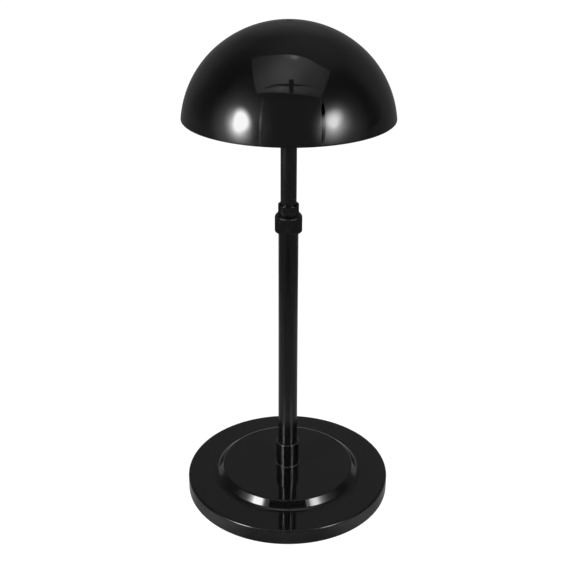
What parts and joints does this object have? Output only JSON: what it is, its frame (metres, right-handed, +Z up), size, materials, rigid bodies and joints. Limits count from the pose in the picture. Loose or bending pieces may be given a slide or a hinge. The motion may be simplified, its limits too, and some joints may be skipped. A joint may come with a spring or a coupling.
{
  "type": "millinery hat stand",
  "caption": "Table stand for one hat: hollow domed head on a telescopic pole with a ribbed locking ring and a round weighted base.",
  "frame": {"origin": "middle of the underside, on the table surface that the foot pads stand on", "axes": "+Z up along the pole; -Y is the side that the picture looks at; the object is round, so X and Y differ only in the feet, ribs and slots"},
  "size_m": [0.175, 0.175, 0.4038],
  "materials": {
    "base_black": "gloss",
    "dome_black": "gloss",
    "clamp_black": "gloss",
    "tube_black": "semi-gloss",
    "inner_plastic": "matt",
    "ballast_iron": "raw",
    "zinc_steel": "zinc plated",
    "insert_brass": "turned",
    "pad_rubber": "matt"
  },
  "bodies": {
    "stand": {"base_cover": "base_black", "base_plate": "inner_plastic", "ballast_disc": "ballast_iron", "foot_pads": "pad_rubber", "base_bolt": "zinc_steel", "base_washer": "zinc_steel", "pole_ferrule": "clamp_black", "foot_plug": "inner_plastic", "foot_insert": "insert_brass", "outer_tube": "tube_black", "collet": "clamp_black"},
    "ring": {"locking_ring": "clamp_black"},
    "mast": {"inner_tube": "tube_black", "guide_bush": "inner_plastic", "mast_cap": "inner_plastic"},
    "dome": {"dome_shell": "dome_black"}
  },
  "joints": [
    {"name": "height_slide", "type": "slide", "parent": "stand", "child": "mast", "axis": [0, 0, 1], "range_m": [-0.1, 0.085]},
    {"name": "ring_turn", "type": "hinge", "parent": "stand", "child": "ring", "pos_m": [0, 0, 0.248], "axis": [0, 0, 1], "range_deg": [0, 270]},
    {"name": "dome_turn", "type": "hinge", "parent": "mast", "child": "dome", "pos_m": [0, 0, 0.38], "axis": [0, 0, 1], "continuous": true}
  ]
}
